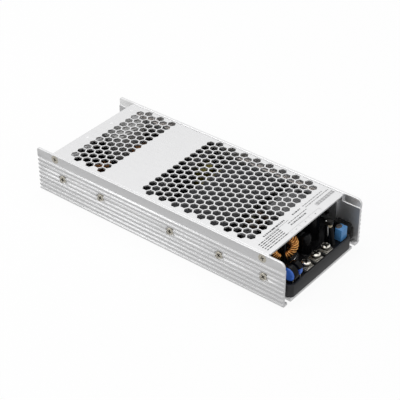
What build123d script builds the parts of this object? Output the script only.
"""Enclosed DC-DC converter: ribbed aluminium channel, perforated cover, half-potted insides.

Millimetres. X runs from the output end (-) to the input end (+), Y runs across, Z is up.
The origin is at the middle of the underside.
"""
from build123d import *
from math import sqrt
import os

os.makedirs("parts", exist_ok=True)

# Case: one aluminium extrusion, a floor with two ribbed walls
case_length = 186.0
case_width = 78.0
case_height = 31.0
floor_thickness = 1.5
wall_thickness = 2.1
band_thickness = 1.5
ledge_drop = 5.5
rib_count = 8
rib_pitch = 3.03
rib_depth = 1.0
rib_land = 1.1
top_rib_drop = 7.6
bottom_chamfer = 1.2
input_ear_radius = 3.5
output_ear_radius = 1.2
foot_width = 4.6
notch_width = 3.2
notch_length = 8.0
mount_spacing_x = 150.0
mount_spacing_y = 50.0
mount_hole_radius = 1.25

# Cover: folded sheet, hexagonal holes in two fields of one lattice
cover_setback = 11.7
cover_thickness = 1.0
cover_drop = 0.3
cover_clearance = 0.1
bend_radius = 0.8
bend_relief_radius = 0.5
hex_pitch = 5.5
hex_across_flats = 4.75
hex_column_offset = 30.2
hex_row_offset = 0.85
hex_rows = 13
input_field_columns = range(-9, 8)
output_field_columns = range(-21, -15)

# Screws
wall_screw_places = {
    "near": (-73.0, -42.0, 12.0, 48.0, 79.0),
    "far": (-73.0, -42.0, 12.0, 48.0, 72.0),
}
wall_screw_height = 15.5
wall_screw_radius = 1.45
wall_screw_head_radius = 2.3
wall_screw_head_height = 0.8
wall_screw_length = 4.6
screw_clearing_radius = 3.0
cover_screw_inset = 14.8
cover_screw_drop = 2.8
cover_screw_radius = 1.45
cover_screw_head_radius = 2.7
cover_screw_length = 4.0
thread_clearance = 0.05
screw_hole_clearance = 0.15
cut_margin = 1.0

# Tray, board and potting
tray_height = 8.2
tray_wall = 1.5
tray_floor = 1.2
tray_clearance = 0.2
tray_shoulder_inset = 8.5
tray_corner_chamfer = 2.5
board_standoff = 1.5
board_thickness = 1.6
board_clearance = 0.4
potting_drop = 0.5
post_size = 4.0
post_columns = (-76.0, 0.0, 70.0)
post_row = 31.5

# Screw terminals
input_terminal_count = 3
output_terminal_count = 4
terminal_pitch = 9.8
terminal_inset = 4.6
terminal_row_shift = {"input": -0.6, "output": 0.0}
terminal_base_width = 8.4
terminal_base_length = 8.0
terminal_base_rise = 0.5
terminal_plate_size = 6.2
terminal_plate_thickness = 0.6
washer_size = 5.4
washer_thickness = 0.7
washer_turn = 12.0
terminal_screw_radius = 1.9
terminal_head_radius = 2.6
terminal_head_height = 2.1
terminal_screw_reach = 3.0
terminal_hole_spare = 0.5
terminal_head_chamfer = 0.6

# Heat-spreader bars and the power transistors clamped to them
bar_thickness = 2.2
bar_height = 15.3
bar_gap = 0.2
bar_lengths = {
    "near_output": (-80.0, -34.0),
    "near_input": (4.0, 84.0),
    "far_output": (-80.0, -34.0),
    "far_input": (4.0, 78.4),
}
transistor_width = 10.0
transistor_height = 13.5
transistor_thickness = 4.2
transistor_chamfer = 0.8
pad_thickness = 0.3
pad_margin = 1.0
transistor_places = {
    "near_output": (-62.5, -50.5),
    "near_input": (20.0, 32.0, 60.0),
    "far_output": (-62.5, -50.5),
    "far_input": (20.0, 32.0, 60.0),
}

# Parts that stand in the input bay, placed from the case's input end and from one wall
disc_radius = 4.4
disc_thickness = 4.2
disc_chamfer = 0.9
disc_insets = ((5.1, 13.1), (4.9, 19.6))
disc_lift = 0.5
disc_sleeve_thickness = 0.4
disc_bare_face = 1.2
disc_sleeve_mouth = 6.2
disc_lead_spacing = 5.0
lead_radius = 0.4
box_capacitor_size = (4.9, 6.2)
box_capacitor_inset = (4.65, 13.95)
box_capacitor_top = 17.0
box_capacitor_rounding = 0.5
fuse_body_size = (5.0, 3.6, 3.6)
fuse_inset = (8.4, 21.8)
fuse_body_bottom = 21.4
fuse_body_rounding = 0.9
fuse_foot_offsets = ((-0.6, -0.2), (4.0, 0.2))
fuse_lead_spacing = 3.0
fuse_sleeve_radius = 1.3
fuse_sleeve_gap = 0.3
coil_inset = 13.6
coil_offset = 1.4
coil_radius = 3.6
coil_top = 22.0
coil_shoulder = 1.6
sealant_inset = 3.4
sealant_height = 3.0
sealant_width = 3.6
sealant_lip_width = 2.4
sealant_edge = 1.4

# Wound toroids: common-mode chokes stand on edge, output inductors lie flat
toroid_outer_radius = 8.4
toroid_inner_radius = 5.2
toroid_thickness = 6.4
wire_thickness = 1.5
wire_clearance = 0.1
turns_per_winding = 9
turn_angle = 17.0
divider_thickness = 1.1
seat_clearance = 0.05
winding_starts = (0.0, 180.0)
choke_insets = ((20.1, 26.1), (40.8, 29.5))
choke_turns = (-30.0, 0.0)
output_inductor_insets = ((35.0, 22.5), (41.5, 54.5))

# Electrolytic cans and film capacitors
can_chamfer = 0.5
can_radius = 5.0
input_can_top = 27.5
input_can_insets = ((34.4, 14.3), (29.0, 32.2), (19.4, 55.0))
output_can_top = 26.0
output_can_insets = ((18.0, 15.0), (18.0, 26.0), (18.0, 37.0))
input_film_capacitor = ((48.8, 66.0), (4.5, 28.5), 25.0)
output_film_capacitor = ((-80.6, -65.0), (5.5, 29.5), 26.0)
film_capacitor_rounding = 0.8

# Magnetics with ferrite E cores laid on their backs, their legs run along X
core_top = 26.0
transformer_limits = ((6.0, 42.0), (-29.2, 29.2))
inductor_limits = {"near": ((-35.0, -10.0), (-29.2, -6.5)), "far": ((-35.0, -10.0), (8.5, 29.2))}
core_back_thickness = 4.1
core_outer_leg = 3.7
core_middle_leg = 8.1
core_joint_gap = 0.1
winding_clearance = 0.3
winding_overhang = 5.0

# Values worked out from the sizes above
half_length = case_length / 2
half_width = case_width / 2
wall_inner = half_width - wall_thickness
band_inner = half_width - band_thickness
ledge_level = case_height - ledge_drop
cover_top = case_height - cover_drop
cover_length = case_length - 2 * cover_setback
cover_under = cover_top - cover_thickness
cover_half_width = band_inner - cover_clearance
tongue_half_width = half_width - foot_width - notch_width
tray_top = floor_thickness + tray_height
tray_half_width = wall_inner - tray_clearance
tray_end_half_width = tongue_half_width - 2 * tray_clearance
tray_shoulder = half_length - tray_shoulder_inset
board_bottom = floor_thickness + tray_floor + board_standoff
board_top = board_bottom + board_thickness
potting_top = tray_top - potting_drop
bar_bottom = tray_top + bar_gap
bar_top = bar_bottom + bar_height
bar_inner = wall_inner - bar_thickness
terminal_base_top = tray_top + terminal_base_rise
disc_height = tray_top + disc_lift + disc_radius
toroid_seat = potting_top + seat_clearance
wound_radius = toroid_outer_radius + wire_clearance + wire_thickness
wound_half_thickness = toroid_thickness / 2 + wire_clearance + wire_thickness
sides = {"near": -1, "far": 1}


def from_corner(inset, end=1, side=-1):
    """A place in plan, from an inset off one end of the case and one off a wall's outer face."""
    return (end * (half_length - inset[0]), side * (half_width - inset[1]))


disc_places = [from_corner(inset) for inset in disc_insets]
box_capacitor_place = from_corner(box_capacitor_inset, side=1)
fuse_body_place = from_corner(fuse_inset, side=1)
choke_places = [(*from_corner(inset), turn) for inset, turn in zip(choke_insets, choke_turns)]
output_inductor_places = [from_corner(inset, end=-1) for inset in output_inductor_insets]
input_can_places = [from_corner(inset) for inset in input_can_insets]
output_can_places = [from_corner(inset, end=-1) for inset in output_can_insets]


def block(x_limits, y_limits, z_limits):
    """A box between two limits along each axis, given in either order."""
    sizes = [abs(limits[1] - limits[0]) for limits in (x_limits, y_limits, z_limits)]
    centre = [sum(limits) / 2 for limits in (x_limits, y_limits, z_limits)]
    return Pos(*centre) * Box(*sizes)


def upright(x, y, z_limits, radius):
    """A cylinder that stands between two levels."""
    height = z_limits[1] - z_limits[0]
    return Pos(x, y, z_limits[0] + height / 2) * Cylinder(radius, height)


def crosswise(x, z, side, outer_y, depth, radius, inner_radius=None):
    """A cylinder or cone across the case, from outer_y inwards on one side."""
    shape = (
        Cylinder(radius, depth)
        if inner_radius is None
        else Cone(inner_radius, radius, depth)
    )
    return Pos(x, side * (outer_y - depth / 2), z) * Rot(-90 * side, 0, 0) * shape


def wall_profile():
    """Half section of the channel: stepped ribs outside, a ledge for the cover inside."""
    points = [(0, 0), (half_width - bottom_chamfer, 0), (half_width, bottom_chamfer)]
    flank_height = rib_pitch - rib_land
    for rib in reversed(range(rib_count)):
        shelf = case_height - top_rib_drop - rib * rib_pitch
        points += [(half_width, shelf), (half_width - rib_depth, shelf), (half_width, shelf + flank_height)]
    points += [
        (half_width, case_height),
        (band_inner, case_height),
        (band_inner, ledge_level),
        (wall_inner, ledge_level),
        (wall_inner, floor_thickness),
        (0, floor_thickness),
    ]
    return make_face(Polyline(points, close=True))


def around(centre, size):
    """Limits of a span of a given size about its centre."""
    return (centre - size / 2, centre + size / 2)


def end_notch(end, side):
    """Open-ended slot through the floor between a wall's foot and the middle tongue."""
    middle = side * (tongue_half_width + notch_width / 2)
    inner_end = half_length - notch_length + notch_width / 2
    levels = (-cut_margin, floor_thickness + cut_margin)
    x_limits = (end * inner_end, end * (half_length + cut_margin))
    slot = block(x_limits, around(middle, notch_width), levels)
    return slot + upright(end * inner_end, middle, levels, notch_width / 2)


def cover_screw_places():
    return [(end * (half_length - cover_screw_inset), side) for end in (-1, 1) for side in sides.values()]


def make_case():
    half = wall_profile()
    section = half + mirror(half, about=Plane.YZ)
    channel = extrude(Plane.YZ * section, amount=half_length, both=True)
    side_view = Rectangle(case_length, 2 * case_height)
    corners = side_view.vertices().group_by(Axis.Y)[-1].sort_by(Axis.X)
    side_view = fillet(corners[0], output_ear_radius)
    side_view = fillet(side_view.vertices().group_by(Axis.Y)[-1].sort_by(Axis.X)[-1], input_ear_radius)
    channel &= extrude(Plane.XZ * side_view, amount=case_width, both=True)
    cutters = [end_notch(end, side) for end in (-1, 1) for side in sides.values()]
    for side_name, side in sides.items():
        for x in wall_screw_places[side_name]:
            level = wall_screw_height
            cutters.append(crosswise(x, level, side, half_width, rib_depth, screw_clearing_radius))
            hole_radius = wall_screw_radius + screw_hole_clearance
            cutters.append(crosswise(x, level, side, half_width, 2 * wall_thickness, hole_radius))
    for x, side in cover_screw_places():
        level = case_height - cover_screw_drop
        countersink = (half_width, band_thickness, cover_screw_head_radius, cover_screw_radius)
        cutters.append(crosswise(x, level, side, *countersink))
        hole_radius = cover_screw_radius + screw_hole_clearance
        cutters.append(crosswise(x, level, side, half_width, 2 * band_thickness, hole_radius))
    for x in (-mount_spacing_x / 2, mount_spacing_x / 2):
        for y in (-mount_spacing_y / 2, mount_spacing_y / 2):
            cutters.append(upright(x, y, (-cut_margin, floor_thickness + cut_margin), mount_hole_radius))
    return channel - cutters


def hex_centres():
    """Middle points of the holes: columns half a pitch apart in turn, 13 and 12 rows."""
    column_step = hex_pitch * sqrt(3) / 2
    for column in [*output_field_columns, *input_field_columns]:
        rows = hex_rows - column % 2
        for row in range(rows):
            y = hex_row_offset + (row - (rows - 1) / 2) * hex_pitch
            yield hex_column_offset + column * column_step, y


def make_cover():
    """Folded sheet: a channel with rounded bends, then all its holes cut at once."""
    x_limits = (-cover_length / 2, cover_length / 2)
    flange_inner = cover_half_width - cover_thickness
    cover = block(x_limits, (-cover_half_width, cover_half_width), (ledge_level, cover_top))
    cover = fillet(cover.edges().filter_by(Axis.X).group_by(Axis.Z)[-1], bend_radius)
    cover -= block(x_limits, (-flange_inner, flange_inner), (ledge_level, cover_under))
    reliefs = [
        upright(end * cover_length / 2, side * flange_inner, (ledge_level, case_height), bend_relief_radius)
        for end in (-1, 1)
        for side in sides.values()
    ]
    level = case_height - cover_screw_drop
    pilot_radius = cover_screw_radius + thread_clearance
    pilots = [
        crosswise(x, level, side, half_width, 4 * cover_thickness, pilot_radius)
        for x, side in cover_screw_places()
    ]
    hexagon = RegularPolygon(hex_across_flats / sqrt(3), 6)
    holes = Sketch() + [Pos(x, y, cover_under) * hexagon for x, y in hex_centres()]
    return cover - reliefs - pilots - extrude(holes, amount=cover_thickness)


def make_cover_screws():
    """Countersunk screws through each wall's plain band into the cover's flange."""
    screws = []
    level = case_height - cover_screw_drop
    for x, side in cover_screw_places():
        head = crosswise(
            x, level, side, half_width, band_thickness, cover_screw_head_radius, cover_screw_radius
        )
        shank_start = half_width - band_thickness / 2
        shank_length = cover_screw_length - band_thickness / 2
        screws.append(head + crosswise(x, level, side, shank_start, shank_length, cover_screw_radius))
    return screws


def make_wall_screws(side_name):
    """Pan-head screws that sit in milled clearings and pull the inner bars to the wall."""
    side = sides[side_name]
    web_face = half_width - rib_depth
    screws = []
    for x in wall_screw_places[side_name]:
        head_face = web_face + wall_screw_head_height
        head = crosswise(
            x, wall_screw_height, side, head_face, wall_screw_head_height, wall_screw_head_radius
        )
        shank = crosswise(x, wall_screw_height, side, web_face, wall_screw_length, wall_screw_radius)
        screws.append(head + shank)
    return screws


def tray_outline(inset):
    """Plan of the tray, drawn in by a wall thickness: a wide body with a tongue at each end."""
    body = Rectangle(2 * (tray_shoulder - inset), 2 * (tray_half_width - inset))
    tongue = Rectangle(case_length - 2 * inset, 2 * (tray_end_half_width - inset))
    tongue = chamfer(tongue.vertices(), tray_corner_chamfer - inset * (2 - sqrt(2)))
    return body + tongue


def make_tray():
    shell = Pos(0, 0, floor_thickness) * extrude(tray_outline(0), amount=tray_height)
    hollow_floor = floor_thickness + tray_floor
    hollow = Pos(0, 0, hollow_floor) * extrude(tray_outline(tray_wall), amount=tray_height)
    posts = [
        block(around(x, post_size), around(y, post_size), (hollow_floor, board_bottom))
        for x in post_columns
        for y in (-post_row, post_row)
    ]
    return shell - hollow + posts


def make_board():
    outline = tray_outline(tray_wall + board_clearance)
    return Pos(0, 0, board_bottom) * extrude(outline, amount=board_thickness)


def terminal_places(count, end):
    """Middle points of one row of terminals."""
    x = end * (half_length - terminal_inset)
    shift = terminal_row_shift["input" if end > 0 else "output"]
    return [(x, shift + (index - (count - 1) / 2) * terminal_pitch) for index in range(count)]


def terminal_blocks(count, end):
    """The outer form of the terminal bases, from the tray's end wall inwards."""
    blocks = []
    for x, y in terminal_places(count, end):
        front = end * (half_length - tray_wall)
        x_limits = (front - end * terminal_base_length, front)
        y_limits = around(y, terminal_base_width)
        blocks.append(block(x_limits, y_limits, (board_top, terminal_base_top)))
    return blocks


def make_terminal_bases(count, end):
    """Moulded black blocks that carry the terminals, drilled for their screws."""
    levels = (terminal_base_top - terminal_screw_reach, terminal_base_top + cut_margin)
    hole_radius = terminal_screw_radius + thread_clearance
    holes = [upright(x, y, levels, hole_radius) for x, y in terminal_places(count, end)]
    return [base - hole for base, hole in zip(terminal_blocks(count, end), holes)]


def square_washer(x, y, level, size, thickness, turn):
    washer = Pos(x, y, level + thickness / 2) * Rot(0, 0, turn) * Box(size, size, thickness)
    levels = (level - cut_margin, level + thickness + cut_margin)
    return washer - upright(x, y, levels, terminal_screw_radius + thread_clearance)


def make_terminal_plates(count, end):
    return [
        square_washer(x, y, terminal_base_top, terminal_plate_size, terminal_plate_thickness, 0)
        for x, y in terminal_places(count, end)
    ]


def make_square_washers(count, end):
    level = terminal_base_top + terminal_plate_thickness
    return [
        square_washer(x, y, level, washer_size, washer_thickness, washer_turn * (-1) ** index)
        for index, (x, y) in enumerate(terminal_places(count, end))
    ]


def make_terminal_screws(count, end):
    seat = terminal_base_top + terminal_plate_thickness + washer_thickness
    tip = terminal_base_top - terminal_screw_reach + terminal_hole_spare
    screws = []
    for x, y in terminal_places(count, end):
        head = upright(x, y, (seat, seat + terminal_head_height), terminal_head_radius)
        head = chamfer(head.edges().group_by(Axis.Z)[-1], terminal_head_chamfer)
        screws.append(head + upright(x, y, (tip, seat), terminal_screw_radius))
    return screws


def make_bar(name):
    """Aluminium bar flat against the wall's inner face, tapped for the wall screws."""
    side = sides[name.split("_")[0]]
    x_limits = bar_lengths[name]
    bar = block(x_limits, (side * bar_inner, side * wall_inner), (bar_bottom, bar_top))
    hole_depth = wall_thickness + 2 * bar_thickness
    holes = [
        crosswise(x, wall_screw_height, side, half_width, hole_depth, wall_screw_radius + thread_clearance)
        for x in wall_screw_places[name.split("_")[0]]
        if x_limits[0] < x < x_limits[1]
    ]
    return bar - holes if holes else bar


def make_transistors(name):
    """Moulded power transistors that stand on the board with their backs to the bar."""
    side = sides[name.split("_")[0]]
    back = bar_inner - pad_thickness
    bodies = []
    for x in transistor_places[name]:
        y_limits = (side * (back - transistor_thickness), side * back)
        body = block(around(x, transistor_width), y_limits, (board_top, bar_bottom + transistor_height))
        top_front = body.edges().filter_by(Axis.X).group_by(Axis.Z)[-1]
        bodies.append(chamfer(top_front, transistor_chamfer))
    return bodies


def make_transistor_pads(name):
    """Thin insulating sheet between each transistor and its bar."""
    side = sides[name.split("_")[0]]
    pads = []
    for x in transistor_places[name]:
        x_limits = around(x, transistor_width + 2 * pad_margin)
        y_limits = (side * (bar_inner - pad_thickness), side * bar_inner)
        pads.append(block(x_limits, y_limits, (bar_bottom, bar_top)))
    return pads


def lead(start, end, radius):
    """Round wire or sleeve, straight from one point to another."""
    path = Edge.make_line(start, end)
    return extrude(Plane(origin=start, z_dir=path.tangent_at(0)) * Circle(radius), amount=path.length)


def make_suppressor_discs():
    """Radial-lead discs that stand across the case, with two leads down to the board."""
    discs = []
    for x, y in disc_places:
        body = Pos(x, y, disc_height) * Rot(90, 0, 0) * Cylinder(disc_radius, disc_thickness)
        body = chamfer(body.edges().filter_by(GeomType.CIRCLE), disc_chamfer)
        for offset in (-disc_lead_spacing / 2, disc_lead_spacing / 2):
            body += upright(x + offset, y, (board_top, disc_height), lead_radius)
        discs.append(body)
    return discs


def make_disc_sleeves():
    """Black sleeve shrunk over the rim of each disc, short of its near face and open below."""
    sleeves = []
    depth = disc_thickness - disc_bare_face
    inner_radius = disc_radius + thread_clearance
    for x, y in disc_places:
        middle = Pos(x, y + disc_bare_face / 2, disc_height) * Rot(90, 0, 0)
        ring = middle * Cylinder(inner_radius + disc_sleeve_thickness, depth)
        ring -= middle * Cylinder(inner_radius, depth)
        mouth = block(around(x, disc_sleeve_mouth), around(y, 2 * depth), (board_top, disc_height))
        sleeves.append(ring - mouth)
    return sleeves


def make_box_capacitor():
    width, depth = box_capacitor_size
    x, y = box_capacitor_place
    height = box_capacitor_top - board_top
    body = Pos(x, y, board_top + height / 2) * Box(width, depth, height)
    return fillet(body.edges().filter_by(Axis.Z), box_capacitor_rounding)


def fuse_lead_lines():
    """Each lead leaves the underside of the fuse body and leans out to its own foot."""
    x, y = fuse_body_place
    lines = []
    for sign, (foot_x, foot_y) in zip((-1, 1), fuse_foot_offsets):
        top = Vector(x + sign * fuse_lead_spacing / 2, y, fuse_body_bottom)
        lines.append((Vector(x + foot_x, y + foot_y, board_top), top))
    return lines


def make_standing_fuse():
    x, y = fuse_body_place
    body = Pos(x, y, fuse_body_bottom + fuse_body_size[2] / 2) * Box(*fuse_body_size)
    body = fillet(body.edges().filter_by(Axis.X), fuse_body_rounding)
    for foot, top in fuse_lead_lines():
        body += lead(foot, top, lead_radius)
    return body


def make_fuse_sleeves():
    """Black sleeves over the fuse's leads, from inside the potting up to its body."""
    sleeves = []
    dip = (potting_top - board_top) / 2
    for foot, top in fuse_lead_lines():
        start = foot + (top - foot) * dip / (fuse_body_bottom - board_top)
        end = top - (top - foot).normalized() * fuse_sleeve_gap
        tube = lead(start, end, fuse_sleeve_radius)
        sleeves.append(tube - lead(foot, top, lead_radius + thread_clearance))
    return sleeves


def make_sleeved_coil():
    """Drum coil on end in a black sleeve, with a sloped shoulder."""
    coil = upright(half_length - coil_inset, coil_offset, (board_top, coil_top), coil_radius)
    return chamfer(coil.edges().group_by(Axis.Z)[-1], coil_shoulder)


def make_silicone_bead():
    """Black sealant heaped along the far wall, from the end of the bar down past the tray's shoulder."""
    start = bar_lengths["far_input"][1] + seat_clearance
    crest = tray_top + sealant_height
    drop = tray_shoulder + seat_clearance
    heap = block((start, drop), (wall_inner - sealant_width, wall_inner), (tray_top, crest))
    heap = chamfer(heap.edges().filter_by(Axis.X).group_by(Axis.Z)[-1].sort_by(Axis.Y)[0], sealant_edge)
    slope = Polyline(
        (drop, floor_thickness),
        (half_length - sealant_inset, floor_thickness),
        (drop, crest - sealant_edge),
        close=True,
    )
    lip = Pos(0, wall_inner, 0) * extrude(make_face(Plane.XZ * slope), amount=sealant_lip_width)
    return heap + lip


def toroid_core():
    return Cylinder(toroid_outer_radius, toroid_thickness) - Cylinder(toroid_inner_radius, toroid_thickness)


def toroid_windings():
    """Two windings of flat turns round the ring, one each side of the gap for the divider."""
    core_width = toroid_outer_radius - toroid_inner_radius
    inner = Rectangle(core_width + 2 * wire_clearance, toroid_thickness + 2 * wire_clearance)
    outer = Rectangle(core_width + 2 * (wire_clearance + wire_thickness), 2 * wound_half_thickness)
    mean_radius = (toroid_outer_radius + toroid_inner_radius) / 2
    turn = extrude(Plane.XZ * Pos(mean_radius, 0) * (outer - inner), amount=wire_thickness / 2, both=True)
    windings = []
    for start in winding_starts:
        turns = [
            Rot(0, 0, start + (index - (turns_per_winding - 1) / 2) * turn_angle) * turn
            for index in range(turns_per_winding)
        ]
        windings.append(turns[0] + turns[1:])
    return windings


def choke_stand(place):
    """Middle of a choke that stands on edge, turned about the upright."""
    x, y, turn = place
    return Pos(x, y, toroid_seat + wound_radius) * Rot(0, 0, turn)


def choke_frame(place):
    """The ring's own frame: its axis level, its windings left and right of the divider."""
    return choke_stand(place) * Rot(0, 90, 0) * Rot(0, 0, 90)


def make_choke_cores():
    return [choke_frame(place) * toroid_core() for place in choke_places]


def make_choke_windings():
    return [choke_frame(place) * winding for place in choke_places for winding in toroid_windings()]


def make_choke_dividers():
    """Insulating plate through the middle of each choke, slotted for the core, standing on the board."""
    foot = board_top - toroid_seat - wound_radius
    x_limits = around(0, 2 * wound_half_thickness)
    plate = block(x_limits, around(0, divider_thickness), (foot, wound_radius))
    slot_width = toroid_thickness + 2 * seat_clearance
    slot_limits = (toroid_inner_radius - 2 * seat_clearance, toroid_outer_radius + seat_clearance)
    for sign in (-1, 1):
        levels = [sign * limit for limit in slot_limits]
        plate -= block(around(0, slot_width), around(0, 2 * divider_thickness), levels)
    return [choke_stand(place) * plate for place in choke_places]


def flat_frame(x, y):
    return Pos(x, y, toroid_seat + wound_half_thickness)


def make_output_inductor_cores():
    return [flat_frame(x, y) * toroid_core() for x, y in output_inductor_places]


def make_output_inductor_windings():
    return [flat_frame(x, y) * winding for x, y in output_inductor_places for winding in toroid_windings()]


def make_cans(places, top):
    """Electrolytic cans: upright cylinders with a turned-in top edge."""
    cans = []
    for x, y in places:
        can = upright(x, y, (board_top, top), can_radius)
        cans.append(chamfer(can.edges().group_by(Axis.Z)[-1], can_chamfer))
    return cans


def make_film_capacitor(limits):
    x_limits, y_limits, top = limits
    body = block(x_limits, y_limits, (board_top, top))
    return fillet(body.edges().filter_by(Axis.Z), film_capacitor_rounding)


def core_window(width):
    """Width of one of the two winding windows of an E core."""
    return (width - 2 * core_outer_leg - core_middle_leg) / 2


def make_core(limits):
    """Two E-shaped ferrite halves that meet leg to leg."""
    x_limits, y_limits = limits
    width = y_limits[1] - y_limits[0]
    middle_y = sum(y_limits) / 2
    window = core_window(width)
    halves = []
    joint = (board_top + core_top) / 2
    for back, front in ((board_top, joint - core_joint_gap / 2), (core_top, joint + core_joint_gap / 2)):
        inward = 1 if front > back else -1
        half = block(x_limits, y_limits, (back, front))
        for side in sides.values():
            centre = middle_y + side * (core_middle_leg + window) / 2
            half -= block(x_limits, around(centre, window), (back + inward * core_back_thickness, front))
        halves.append(half)
    return halves


def make_core_winding(limits):
    """Taped winding block that fills both windows round the middle leg and stands out at both ends."""
    (x_low, x_high), y_limits = limits
    width = y_limits[1] - y_limits[0]
    middle_y = sum(y_limits) / 2
    half_span = core_middle_leg / 2 + core_window(width) - winding_clearance
    levels = (
        board_top + core_back_thickness + winding_clearance,
        core_top - core_back_thickness - winding_clearance,
    )
    x_limits = (x_low - winding_overhang, x_high + winding_overhang)
    coil = block(x_limits, (middle_y - half_span, middle_y + half_span), levels)
    coil = fillet(coil.edges().filter_by(Axis.Z), winding_overhang / 2)
    half_leg = core_middle_leg / 2 + winding_clearance
    leg = block(
        (x_low - winding_clearance, x_high + winding_clearance),
        (middle_y - half_leg, middle_y + half_leg),
        levels,
    )
    return coil - leg


def make_potting(standing):
    """Potting compound: fills the tray round the board and round all that stands on the board."""
    hollow_floor = floor_thickness + tray_floor
    fill = Pos(0, 0, hollow_floor) * extrude(tray_outline(tray_wall), amount=potting_top - hollow_floor)
    return fill - make_board() - make_tray() - standing


nodes = {
    "case_extrusion": make_case(),
    "top_cover": make_cover(),
    "cover_screws": make_cover_screws(),
    "potting_tray": make_tray(),
    "circuit_board": make_board(),
}
for side_name in sides:
    nodes[f"wall_screws_{side_name}"] = make_wall_screws(side_name)
terminal_rows = {"input": (input_terminal_count, 1), "output": (output_terminal_count, -1)}
for end_name, (terminal_count, end_sign) in terminal_rows.items():
    nodes[f"{end_name}_terminal_bases"] = make_terminal_bases(terminal_count, end_sign)
    nodes[f"{end_name}_terminal_plates"] = make_terminal_plates(terminal_count, end_sign)
    nodes[f"{end_name}_square_washers"] = make_square_washers(terminal_count, end_sign)
    nodes[f"{end_name}_terminal_screws"] = make_terminal_screws(terminal_count, end_sign)
for bar_name in bar_lengths:
    nodes[f"bar_{bar_name}"] = make_bar(bar_name)
    nodes[f"transistors_{bar_name}"] = make_transistors(bar_name)
    nodes[f"transistor_pads_{bar_name}"] = make_transistor_pads(bar_name)

nodes["suppressor_discs"] = make_suppressor_discs()
nodes["disc_sleeves"] = make_disc_sleeves()
nodes["box_capacitor"] = make_box_capacitor()
nodes["standing_fuse"] = make_standing_fuse()
nodes["fuse_sleeves"] = make_fuse_sleeves()
nodes["silicone_bead"] = make_silicone_bead()
nodes["choke_cores"] = make_choke_cores()
nodes["choke_windings"] = make_choke_windings()
nodes["choke_dividers"] = make_choke_dividers()
nodes["output_inductor_cores"] = make_output_inductor_cores()
nodes["output_inductor_windings"] = make_output_inductor_windings()
nodes["sleeved_coil"] = make_sleeved_coil()
nodes["input_capacitors"] = make_cans(input_can_places, input_can_top)
nodes["output_capacitors"] = make_cans(output_can_places, output_can_top)
nodes["input_film_capacitor"] = make_film_capacitor(input_film_capacitor)
nodes["output_film_capacitor"] = make_film_capacitor(output_film_capacitor)
nodes["transformer_core"] = make_core(transformer_limits)
nodes["transformer_winding"] = make_core_winding(transformer_limits)
for side_name, limits in inductor_limits.items():
    nodes[f"resonant_inductor_core_{side_name}"] = make_core(limits)
    nodes[f"resonant_inductor_winding_{side_name}"] = make_core_winding(limits)

potted_nodes = [
    "suppressor_discs",
    "box_capacitor",
    "standing_fuse",
    "fuse_sleeves",
    "choke_dividers",
    "sleeved_coil",
    "input_capacitors",
    "output_capacitors",
    "input_film_capacitor",
    "output_film_capacitor",
    "transformer_core",
    "resonant_inductor_core_near",
    "resonant_inductor_core_far",
    *[f"transistors_{bar_name}" for bar_name in bar_lengths],
]
standing_solids = terminal_blocks(input_terminal_count, 1) + terminal_blocks(output_terminal_count, -1)
for name in potted_nodes:
    shapes = nodes[name] if isinstance(nodes[name], list) else [nodes[name]]
    standing_solids += shapes
nodes["potting_compound"] = make_potting(standing_solids)

for name, shape in nodes.items():
    shapes = shape if isinstance(shape, list) else [shape]
    solids = [solid for item in shapes for solid in item.solids()]
    export_step(Compound(children=solids), f"parts/{name}.step")
